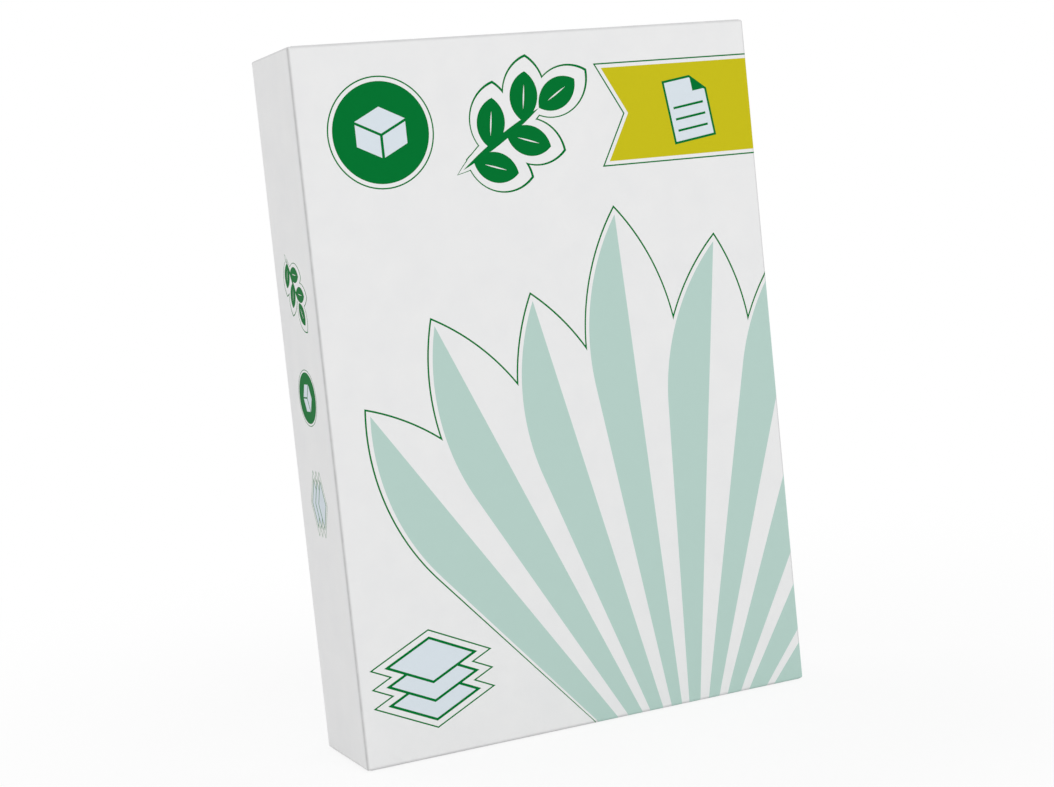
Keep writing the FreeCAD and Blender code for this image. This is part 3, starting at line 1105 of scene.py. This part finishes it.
MIX_COLOURS = (6, 7)  # the numbers of a Mix node's two colour inputs
MIX_RESULT = 2  # the number of its colour output
NOISE_FALL = 0.55  # how much of each coarser grain's height a finer one has


class Value:
    """A shader value, on which Python's operators add Math nodes."""

    def __init__(self, graph: "Graph", socket: bpy.types.NodeSocket) -> None:
        """Wrap one output socket of a graph."""
        self.graph = graph
        self.socket = socket

    def math(self, operation: str, *others: "Value | float", first: "Value | float | None" = None) -> "Value":
        """One Math node.

        Args:
            operation: The node's operation.
            others: What follows this value in its inputs.
            first: What comes before this value, where it isn't the first.

        Returns:
            The node's result.
        """
        inputs = [self, *others] if first is None else [first, self]
        node = self.graph.node("ShaderNodeMath", {"operation": operation}, dict(enumerate(inputs)))
        return Value(self.graph, node.outputs[0])

    def __add__(self, other: "Value | float") -> "Value":
        """This value plus another."""
        return self.math("ADD", other)

    __radd__ = __add__

    def __mul__(self, other: "Value | float") -> "Value":
        """This value times another."""
        return self.math("MULTIPLY", other)

    __rmul__ = __mul__

    def __sub__(self, other: "Value | float") -> "Value":
        """This value less another."""
        return self.math("SUBTRACT", other)

    def __rsub__(self, other: "Value | float") -> "Value":
        """Another value less this one."""
        return self.math("SUBTRACT", first=other)

    def __truediv__(self, other: "Value | float") -> "Value":
        """This value divided by another."""
        return self.math("DIVIDE", other)

    def __abs__(self) -> "Value":
        """This value without its sign."""
        return self.math("ABSOLUTE")

    def __pow__(self, power: float) -> "Value":
        """This value to a power."""
        return self.math("POWER", power)

    def at_most(self, other: "Value | float") -> "Value":
        """The lower of two values."""
        return self.math("MINIMUM", other)

    def at_least(self, other: "Value | float") -> "Value":
        """The higher of two values."""
        return self.math("MAXIMUM", other)

    def clamped(self) -> "Value":
        """This value held between 0 and 1."""
        return self.at_least(0.0).at_most(1.0)

    def ranged(self, low: float, high: float) -> "Value":
        """This value, from 0 to 1, spread from low to high."""
        return self * (high - low) + low


class Graph:
    """The node tree of one material or world."""

    def __init__(self, owner: bpy.types.Material | bpy.types.World) -> None:
        """Start an empty tree.

        Args:
            owner: The material or the world that it belongs to.
        """
        owner.use_nodes = True
        self.tree = owner.node_tree
        self.tree.nodes.clear()

    def node(
        self, kind: str, settings: dict[str, Any] | None = None, sockets: dict[str | int, Any] | None = None
    ) -> bpy.types.Node:
        """Add one node.

        Args:
            kind: The node's type.
            settings: Its own settings, which are set first.
            sockets: Values or links for its inputs, by name or number.

        Returns:
            The node.
        """
        node = self.tree.nodes.new(kind)
        for name, setting in (settings or {}).items():
            setattr(node, name, setting)
        for key, given in (sockets or {}).items():
            source = given.socket if isinstance(given, Value) else given
            if isinstance(source, bpy.types.NodeSocket):
                self.tree.links.new(source, node.inputs[key])
            else:
                node.inputs[key].default_value = source
        return node

    def value(self, socket: bpy.types.NodeSocket) -> Value:
        """A socket as a value to reckon with."""
        return Value(self, socket)

    def place(self) -> tuple[bpy.types.NodeSocket, Value, Value, Value]:
        """The place on the object.

        Returns:
            It as a vector in metres, and its x, y and z in millimetres.
        """
        vector = self.node("ShaderNodeTexCoord").outputs["Object"]
        parts = self.node("ShaderNodeSeparateXYZ", None, {0: vector}).outputs
        x, y, z = (self.value(part) / MM for part in parts)
        return vector, x, y, z

    def noise(self, vector: bpy.types.NodeSocket, grain: float, detail: float) -> Value:
        """Noise from 0 to 1 whose grains are about so many millimetres wide."""
        sockets = {"Vector": vector, "Scale": 1 / (grain * MM), "Detail": detail, "Roughness": NOISE_FALL}
        return self.value(self.node("ShaderNodeTexNoise", None, sockets).outputs["Fac"])

    def mixed(self, share: Value, *colours: bpy.types.NodeSocket | Sequence[float]) -> bpy.types.NodeSocket:
        """A colour between two.

        Args:
            share: How far it is from the first to the second.
            colours: The two, each as a link or as red, green and blue.

        Returns:
            The mixed colour.
        """
        ends = [end if isinstance(end, bpy.types.NodeSocket) else (*end, 1.0) for end in colours]
        sockets = {"Factor": share, **dict(zip(MIX_COLOURS, ends))}
        return self.node("ShaderNodeMix", {"data_type": "RGBA"}, sockets).outputs[MIX_RESULT]

    def bump(self, height: Value) -> bpy.types.NodeSocket:
        """A normal from heights in millimetres."""
        sockets = {"Height": height, "Distance": MM, "Strength": 1.0}
        return self.node("ShaderNodeBump", None, sockets).outputs["Normal"]

    def surface(self, shader: bpy.types.NodeSocket) -> None:
        """End the tree in a shader."""
        owner = "World" if "Background" in shader.node.bl_idname else "Material"
        self.node("ShaderNodeOutput" + owner, None, {"Surface": shader})


@dataclass(frozen=True)
class CoatedPaper:
    """White coated paper, with a faint cloudiness, folds greyed by scuffing and by painted shade, painted
    shade by the cut edges, glue that shows through, and a fine tooth.

    Grains, widths, places and heights are in millimetres. A pair of numbers is a range, from where the noise
    that sets it is at its lowest to where it is at its highest.
    """

    size: PackSize
    white: tuple[float, float, float] = (0.81, 0.81, 0.81)
    cloud: tuple[float, float, float] = (0.785, 0.787, 0.792)
    # The grey of the folds, partly scuffed coating and partly painted shade, and of the painted shade by the
    # cut edges of the lap and the flaps.
    worn_and_shaded: tuple[float, float, float] = (0.5, 0.5, 0.505)
    cloud_grain: float = 14.0
    cloud_cover: tuple[float, float] = (-0.6, 1.6)
    cloud_height: float = 0.01
    tooth_grain: float = 0.35
    tooth_height: float = 0.012
    # The grain of the patches that vary the grey of the folds and the painted shade by the cut edges.
    rub_and_shade_grain: float = 5.0
    roughness: tuple[float, float] = (0.36, 0.5)
    worn_roughness: float = 0.2
    index: float = 1.33
    # Width and strength of the grey on the folds, partly scuffing and partly painted shade, and of the painted
    # shade by the cut edges.
    fold_wear_and_shade_width: float = 0.85
    fold_wear_and_shade_share: tuple[float, float] = (0.5, 1.2)
    end_fold_wear_and_shade: float = 0.6
    edge_shade_width: float = 0.45
    edge_shade_share: tuple[float, float] = (0.3, 0.65)
    end_inset: float = 0.7
    change_width: float = 0.2
    lap_beads: tuple[float, float] = (-4.0, 6.5)
    lap_bead_depth: float = 0.5
    flap_beads: tuple[float, float] = (4.5, 12.5)
    flap_bead_inset: float = 44.0
    flap_bead_fade: float = 6.0
    bead_half_width: float = 3.7
    bead_height: float = 0.15
    bead_grain: float = 30.0
    bead_share: tuple[float, float] = (0.45, 1.45)

    def near(self, distance: Value, half_width: float) -> Value:
        """1 on a line, falling to 0 at its half width."""
        return 1 - (abs(distance) / half_width).clamped()

    def past(self, distance: Value) -> Value:
        """0 before a place and 1 past it."""
        return (distance / self.change_width).clamped()

    def on_ends(self, z: Value) -> Value:
        """1 on the two ends, and 0 on the walls."""
        return self.past(abs(z - self.size.height / 2) - (self.size.face_height / 2 - self.end_inset))

    def fold_wear_and_shade(self, x: Value, y: Value, z: Value) -> Value:
        """How grey the paper is on its folds: partly scuffed coating, partly painted shade of the fold lines.

        Args:
            x: The place across the pack.
            y: The place from front to back.
            z: The height.

        Returns:
            1 on the pack's folds, 0 away from them.
        """
        size = self.size
        middle = (size.front + size.back) / 2
        bend = size.long_fold_radius * (1 - SLANT)
        from_side = size.width / 2 - abs(x) - bend
        from_face = size.depth / 2 - abs(y - middle) - bend
        from_end = size.face_height / 2 - abs(z - size.height / 2) - bend
        inward = (from_side, from_face, from_end)
        sides, faces, ends = (1 - (far / self.fold_wear_and_shade_width).clamped() for far in inward)
        return (sides * faces).at_least(ends * sides.at_least(faces) * self.end_fold_wear_and_shade)

    def edges(self, x: Value, y: Value, z: Value) -> Value:
        """Where the cut edges of the lap and of the flaps leave a thin shade on the layer below.

        Args:
            x: The place across the pack.
            y: The place from front to back.
            z: The height.

        Returns:
            1 along the edges, 0 away from them.
        """
        size = self.size
        free = size.front + size.flap_length + size.step_run
        lap = self.near(x - size.lap_half_width - size.step_run, self.edge_shade_width) * self.past(y - free)
        aside, from_front, from_back = abs(x), y - size.front, size.back - y
        half = size.flat_half_width
        front_side = self.near((half - from_front - aside) * SLANT, self.edge_shade_width) * self.past(free - y)
        rear_side = self.near((half - from_back - aside) * SLANT, self.edge_shade_width)
        covered = self.past(half - from_front - aside) * self.past(free - y)
        rear_side = rear_side * self.past(size.flap_length - from_back) * (1 - covered)
        front_edge = self.near(y - free, self.edge_shade_width) * self.past(half - size.flap_length - aside)
        return lap.at_least(front_side.at_least(rear_side).at_least(front_edge) * self.on_ends(z))

    def beads(self, across: Value, places: Iterable[float]) -> Value:
        """Round-topped ridges over two beads of glue side by side.

        Args:
            across: The place across the beads.
            places: Where the middle of each bead is.

        Returns:
            1 on top of a bead, 0 off them.
        """
        falls = [(1 - ((across - place) / self.bead_half_width) ** 2).at_least(0.0) for place in places]
        first, second = (fall * fall for fall in falls)
        return first.at_least(second)

    def glue(self, x: Value, y: Value, z: Value) -> Value:
        """Where the paper stands over the glue in the lap and under the front flaps.

        Args:
            x: The place across the pack.
            y: The place from front to back.
            z: The height.

        Returns:
            1 on top of the glue, 0 off it.
        """
        size = self.size
        free = size.front + size.flap_length
        down_back = self.beads(x, self.lap_beads) * self.past(y - (size.back - self.lap_bead_depth))
        along_flap = ((size.flat_half_width - self.flap_bead_inset - abs(x)) / self.flap_bead_fade).clamped()
        across = self.beads(y, [free - inset for inset in self.flap_beads]) * along_flap * self.on_ends(z)
        return (down_back * (1 - self.on_ends(z))).at_least(across)

    def material(self) -> bpy.types.Material:
        """Make the finish.

        Returns:
            The material.
        """
        made = bpy.data.materials.new("wrapper_paper")
        graph = Graph(made)
        vector, x, y, z = graph.place()
        clouds = graph.noise(vector, self.cloud_grain, detail=4.0)
        tooth = graph.noise(vector, self.tooth_grain, detail=2.0)
        rub_and_shade_patches = graph.noise(vector, self.rub_and_shade_grain, detail=3.0)
        uneven = graph.noise(vector, self.bead_grain, detail=1.0).ranged(*self.bead_share)
        # Grey on the folds: partly scuffed coating, partly painted shade of the fold lines.
        fold_wear_and_shade = self.fold_wear_and_shade(x, y, z) * rub_and_shade_patches.ranged(*self.fold_wear_and_shade_share)
        # Painted shade beside the cut edges of the lap and the flaps, joined to the grey of the folds.
        shade = fold_wear_and_shade.at_least(self.edges(x, y, z) * rub_and_shade_patches.ranged(*self.edge_shade_share))
        clouded = graph.mixed(clouds.ranged(*self.cloud_cover).clamped(), self.white, self.cloud)
        height = tooth * self.tooth_height + clouds * self.cloud_height
        height = height + self.glue(x, y, z) * uneven * self.bead_height
        shader = graph.node("ShaderNodeBsdfPrincipled", None, {
            # The base colour carries the painted shade of the folds and the cut edges.
            "Base Color": graph.mixed(shade.clamped(), clouded, self.worn_and_shaded),
            "Roughness": (clouds.ranged(*self.roughness) + fold_wear_and_shade * self.worn_roughness).clamped(),
            "IOR": self.index,
            "Normal": graph.bump(height),
        })
        graph.surface(shader.outputs[0])
        return made


@dataclass(frozen=True)
class PrintedInk:
    """A flat field of matt offset ink on the coated paper, a little uneven in its gloss."""

    ink: Ink
    colour: tuple[float, float, float]
    cloud_grain: float = 9.0
    cloud_height: float = 0.006
    tooth_grain: float = 0.35
    tooth_height: float = 0.01
    roughness: tuple[float, float] = (0.26, 0.4)
    index: float = 1.06

    def material(self) -> bpy.types.Material:
        """Make the finish.

        Returns:
            The material.
        """
        made = bpy.data.materials.new(self.ink.value)
        graph = Graph(made)
        vector, *_ = graph.place()
        clouds = graph.noise(vector, self.cloud_grain, detail=4.0)
        tooth = graph.noise(vector, self.tooth_grain, detail=2.0)
        shader = graph.node("ShaderNodeBsdfPrincipled", None, {
            "Base Color": (*self.colour, 1.0),
            "Roughness": clouds.ranged(*self.roughness).clamped(),
            "IOR": self.index,
            "Normal": graph.bump(tooth * self.tooth_height + clouds * self.cloud_height),
        })
        graph.surface(shader.outputs[0])
        return made


# The pack


@dataclass(frozen=True)
class PagePlan:
    """Where the marks stand, in millimetres from the page's edges to each mark's own zero point.

    On the narrow side the marks are smaller, turned to be read from the left, and stand one below another.
    """

    fan_from_left: float = 150.0
    fan_below_foot: float = 50.0
    badge_from_left: float = 36.0
    badge_from_top: float = 37.0
    twig_from_left: float = 98.0
    twig_from_top: float = 38.0
    ribbon_from_top: float = 37.0
    sheet_from_right: float = 31.0
    sheet_tilt: float = 8.0
    stack_from_left: float = 33.0
    stack_above_foot: float = 33.0
    side_scale: float = 0.52
    side_turn: float = -90.0
    side_from_top: float = 98.0
    side_spacing: float = 45.0

    def front(self, right: float, top: float) -> list[Layer]:
        """The print on the front.

        Args:
            right: From the front's middle to its right edge.
            top: From its middle to its top.

        Returns:
            The layers, about the middle of the front.
        """
        left, foot = -right, -top
        ribbon = Ribbon()
        level = top - self.ribbon_from_top
        marks = [
            (PetalFan(), left + self.fan_from_left, foot - self.fan_below_foot, 0.0),
            (Badge(), left + self.badge_from_left, top - self.badge_from_top, 0.0),
            (Twig(), left + self.twig_from_left, top - self.twig_from_top, 0.0),
            (ribbon, right - ribbon.length, level, 0.0),
            (SheetMark(), right - self.sheet_from_right, level, self.sheet_tilt),
            (LayerStack(), left + self.stack_from_left, foot + self.stack_above_foot, 0.0),
        ]
        return [layer.placed(x, y, turn) for mark, x, y, turn in marks for layer in mark.layers()]

    def side(self, middle: float, top: float) -> list[Layer]:
        """The print on the left narrow side.

        Args:
            middle: The first coordinate of the side's middle, on the flat.
            top: From the middle of the height to the top.

        Returns:
            The layers, on the flat.
        """
        layers = []
        for place, mark in enumerate((Twig(), Badge(), LayerStack())):
            up = top - self.side_from_top - self.side_spacing * place
            layers += [layer.placed(middle, up, self.side_turn, self.side_scale) for layer in mark.layers()]
        return layers


@dataclass
class WrappedReam:
    """The sealed pack: its wrapper and its print."""

    size: PackSize
    plan: PagePlan = PagePlan()
    crease_degrees: float = 26.0
    map_border: float = 3.0
    map_margin: float = 0.01
    slots: dict[Ink, str] = field(default_factory=lambda: {
        Ink.PAPER: "wrapper_paper",
        Ink.DARK_GREEN: "dark_green_ink",
        Ink.OLIVE: "olive_ink",
        Ink.PALE_GREEN: "pale_green_ink",
        Ink.PALE_BLUE: "pale_blue_ink",
    })
    nodes: dict[Ink, str] = field(default_factory=lambda: {
        Ink.PAPER: "wrapped_ream",
        Ink.DARK_GREEN: "dark_green_print",
        Ink.OLIVE: "olive_print",
        Ink.PALE_GREEN: "pale_green_print",
        Ink.PALE_BLUE: "pale_blue_print",
    })

    def finishes(self) -> dict[Ink, bpy.types.Material]:
        """The finishes of the paper and of each ink.

        Returns:
            The materials by ink.
        """
        inks = [
            PrintedInk(Ink.DARK_GREEN, (0.0015, 0.165, 0.03)),
            PrintedInk(Ink.OLIVE, (0.558, 0.497, 0.012)),
            PrintedInk(Ink.PALE_GREEN, (0.456, 0.617, 0.565)),
            PrintedInk(Ink.PALE_BLUE, (0.672, 0.738, 0.791)),
        ]
        return {Ink.PAPER: CoatedPaper(self.size).material(), **{ink.ink: ink.material() for ink in inks}}

    def print_on(self, tube: WrapperTube) -> PrintedSheet:
        """The print on the front and on the left narrow side.

        Args:
            tube: The wrapper that is printed.

        Returns:
            The print on the flat.
        """
        top = self.size.face_height / 2
        front_end, side_start, side_end, _ = tube.stations
        front = self.plan.front(self.size.width / 2, top)
        side = self.plan.side(-(side_start + side_end) / 2, top)
        print_ = PrintedSheet()
        print_.put(front, (-front_end, -(tube.wall_half + tube.rim)), (side_start, tube.wall_half))
        print_.put(side, (-side_end, -tube.wall_half), (-side_start, tube.wall_half))
        return print_

    def shells(self) -> tuple[Shell, Shell, Shell]:
        """The folded wrapper.

        Returns:
            The tube, the top end and the bottom end.
        """
        tube = WrapperTube(self.size)
        round_ = tube.shell(self.print_on(tube))
        end = WrapperEnd(self.size)
        return round_, end.shell(tube.crest(round_, True), True), end.shell(tube.crest(round_, False), False)

    def unwrapped(self, shells: Sequence[Shell]) -> np.ndarray:
        """Lay every triangle on one square picture: the tube's flat, and the ends above it.

        Args:
            shells: The tube and the two ends.

        Returns:
            The places of the triangles' corners, from 0 to 1.
        """
        tube, top, bottom = (shell.flat[shell.triangles] for shell in shells)
        border = self.map_border
        width, height = np.ptp(tube.reshape(-1, 2), axis=0) + 2 * border
        low, ends_low = (part.reshape(-1, 2).min(axis=0) for part in (tube, top))
        tube_at = tube - low + (border, border)
        top_at = top - ends_low + (border, height + border)
        bottom_at = bottom - ends_low + (self.size.width + 2 * border, height + border)
        return np.concatenate([tube_at, top_at, bottom_at]) / width

    def build(self) -> list[bpy.types.Object]:
        """Make the pieces: the wrapper and one piece for each ink, which share their edges.

        Returns:
            The pieces.
        """
        shells = self.shells()
        starts = np.cumsum([0, *(len(shell.points) for shell in shells)])
        points = np.concatenate([shell.points for shell in shells])
        corners = np.concatenate([shell.triangles + start for shell, start in zip(shells, starts)])
        inks = np.concatenate([shell.inks for shell in shells])
        maps = self.unwrapped(shells)
        places = np.round(points, SAME_DIGITS)
        _, first, alike = np.unique(places, axis=0, return_index=True, return_inverse=True)
        points, corners = points[first] * MM, alike.reshape(-1)[corners]
        solid = np.all(corners != np.roll(corners, -1, axis=1), axis=1)
        corners, inks, maps = corners[solid], inks[solid], maps[solid]
        normals = self.corner_normals(points, corners)
        finishes = self.finishes()
        pieces = []
        for number, ink in enumerate(INKS):
            chosen = inks == number
            part = (corners[chosen], normals[chosen], maps[chosen])
            pieces.append(self.piece(ink, points, *part, finishes[ink]))
        return pieces

    def corner_normals(self, points: np.ndarray, corners: np.ndarray) -> np.ndarray:
        """The way that the whole shell faces at each triangle's corners, smooth but for its creases.

        Args:
            points: The shell's points.
            corners: Its triangles.

        Returns:
            One normal for each corner of each triangle.
        """
        whole = bpy.data.meshes.new("whole")
        whole.from_pydata(points.tolist(), [], corners.tolist())
        whole.set_sharp_from_angle(angle=math.radians(self.crease_degrees))
        normals = np.empty(corners.size * 3, np.float32)
        whole.corner_normals.foreach_get("vector", normals)
        bpy.data.meshes.remove(whole)
        return normals.reshape(-1, 3, 3)

    def piece(
        self, ink: Ink, points: np.ndarray, corners: np.ndarray, normals: np.ndarray, maps: np.ndarray,
        finish: bpy.types.Material,
    ) -> bpy.types.Object:
        """One piece of the shell.

        Args:
            ink: What covers it.
            points: The whole shell's points.
            corners: The piece's triangles.
            normals: The way that the shell faces at each of their corners.
            maps: Their places on the picture.
            finish: The material.

        Returns:
            The piece, riding on the body and standing for its node.
        """
        used, numbers = np.unique(corners, return_inverse=True)
        mesh = bpy.data.meshes.new(ink.value)
        mesh.from_pydata(points[used].tolist(), [], numbers.reshape(-1, 3).tolist())
        mesh.polygons.foreach_set("use_smooth", [True] * len(corners))
        layer = mesh.uv_layers.new(name="OFBake")
        places = maps.reshape(-1, 2)
        if ink is not Ink.PAPER:
            places = places - places.min(axis=0)
            places = self.map_margin + (1 - 2 * self.map_margin) * places / places.max()
        layer.uv.foreach_set("vector", places.astype(np.float32).ravel())
        mesh.normals_split_custom_set(normals.reshape(-1, 3).tolist())
        mesh.materials.append(finish)
        made = bpy.data.objects.new(ink.value, mesh)
        bpy.context.scene.collection.objects.link(made)
        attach(made, "root")
        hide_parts(self.nodes[ink])
        return made


# Studio


@dataclass(frozen=True)
class Lamp:
    """A soft square lamp that looks at the middle of the pack, in metres and watts."""

    name: str
    place: tuple[float, float, float]
    size: float
    power: float
    target: tuple[float, float, float] = (0.0, 0.0, 0.15)

    def build(self) -> None:
        """Set it up. Gloss mirrors the white surround and not the lamp."""
        data = bpy.data.lights.new(self.name, "AREA")
        data.energy, data.size = self.power, self.size
        made = bpy.data.objects.new(self.name, data)
        made.visible_glossy = False
        made.location = self.place
        aim = Vector(self.target) - Vector(self.place)
        made.rotation_euler = aim.to_track_quat("-Z", "Y").to_euler()
        bpy.context.scene.collection.objects.link(made)


@dataclass(frozen=True)
class Studio:
    """A plain white sweep, soft lamps, and the camera at the photograph's viewing angle.

    The camera's place is in millimetres, and so is how far from the middle of the pack's foot the shadow is
    full, and how far it then takes to fade. The rest is in metres.
    """

    eye: tuple[float, float, float] = (-345.7, -789.4, 216.7)
    forward: tuple[float, float, float] = (0.3946, 0.915, -0.084)
    rightward: tuple[float, float, float] = (0.91, -0.4018, -0.1023)
    lens: float = 67.12
    sensor: float = 36.0
    nearest: float = 0.01
    farthest: float = 100.0
    ambient: float = 0.68
    floor_white: float = 0.88
    floor_reach: float = 6.0
    shadow_share: float = 0.17
    shadow_full: float = 180.0
    shadow_fade: float = 420.0
    lamps: tuple[Lamp, ...] = (
        Lamp("key", (0.4, -3.3, 2.0), 4.0, 55.0),
        Lamp("fill", (-1.6, 2.6, 1.8), 3.0, 30.0),
        Lamp("right", (3.0, 0.6, 1.4), 2.4, 13.0),
    )

    def camera(self) -> None:
        """Set up the camera."""
        data = bpy.data.cameras.new("camera")
        data.lens, data.sensor_width = self.lens, self.sensor
        data.clip_start, data.clip_end = self.nearest, self.farthest
        made = bpy.data.objects.new("camera", data)
        back = -Vector(self.forward).normalized()
        up = back.cross(Vector(self.rightward)).normalized()
        right = up.cross(back)
        turn = Matrix((right, up, back)).transposed().to_4x4()
        made.matrix_world = Matrix.Translation(Vector(self.eye) * MM) @ turn
        bpy.context.scene.collection.objects.link(made)
        bpy.context.scene.camera = made

    def seen(self, graph: Graph) -> Value:
        """Whether a ray shows the background: from the camera, mirrored, or let through.

        Args:
            graph: The tree that asks.

        Returns:
            1 for such rays, 0 for others.
        """
        paths = graph.node("ShaderNodeLightPath").outputs
        seen = graph.value(paths["Is Camera Ray"]) + graph.value(paths["Is Glossy Ray"])
        return (seen + graph.value(paths["Is Transmission Ray"])).at_most(1.0)

    def world(self) -> None:
        """A white surround that lights the pack softly."""
        world = bpy.data.worlds.new("surround")
        bpy.context.scene.world = world
        graph = Graph(world)
        strength = self.ambient + self.seen(graph) * (1 - self.ambient)
        background = graph.node("ShaderNodeBackground", None, {"Color": (1, 1, 1, 1), "Strength": strength})
        graph.surface(background.outputs[0])

    def floor(self) -> None:
        """A white floor that keeps a faint shadow near the pack."""
        mesh = bpy.data.meshes.new("floor")
        far = self.floor_reach
        mesh.from_pydata([(-far, -far, 0), (far, -far, 0), (far, far, 0), (-far, far, 0)], [], [(0, 1, 2, 3)])
        made = bpy.data.objects.new("floor", mesh)
        bpy.context.scene.collection.objects.link(made)
        material = bpy.data.materials.new("floor")
        graph = Graph(material)
        _, x, y, _ = graph.place()
        away = (x * x + y * y) ** 0.5
        near = (1 - (away - self.shadow_full) / self.shadow_fade).clamped()
        lit_share = near * near * self.shadow_share
        white = (self.floor_white,) * 3 + (1.0,)
        lit = graph.node("ShaderNodeBsdfDiffuse", None, {"Color": white})
        glow = graph.node("ShaderNodeEmission", None, {"Color": (1, 1, 1, 1), "Strength": 1.0})
        share = self.seen(graph) * (1 - lit_share)
        mix = graph.node("ShaderNodeMixShader", None, {0: share, 1: lit.outputs[0], 2: glow.outputs[0]})
        graph.surface(mix.outputs[0])
        mesh.materials.append(material)

    def build(self) -> None:
        """Make the whole studio."""
        bpy.context.scene.view_settings.view_transform = "Standard"
        self.camera()
        self.world()
        self.floor()
        for lamp in self.lamps:
            lamp.build()


def main() -> None:
    """Build the studio and the pack."""
    logging.basicConfig(level=logging.INFO, format="%(name)s: %(message)s")
    Studio().build()
    size = PackSize.from_solids()
    for piece in WrappedReam(size).build():
        log.info("%s: %d triangles", piece.name, len(piece.data.polygons))


if __name__ == "__main__":
    main()
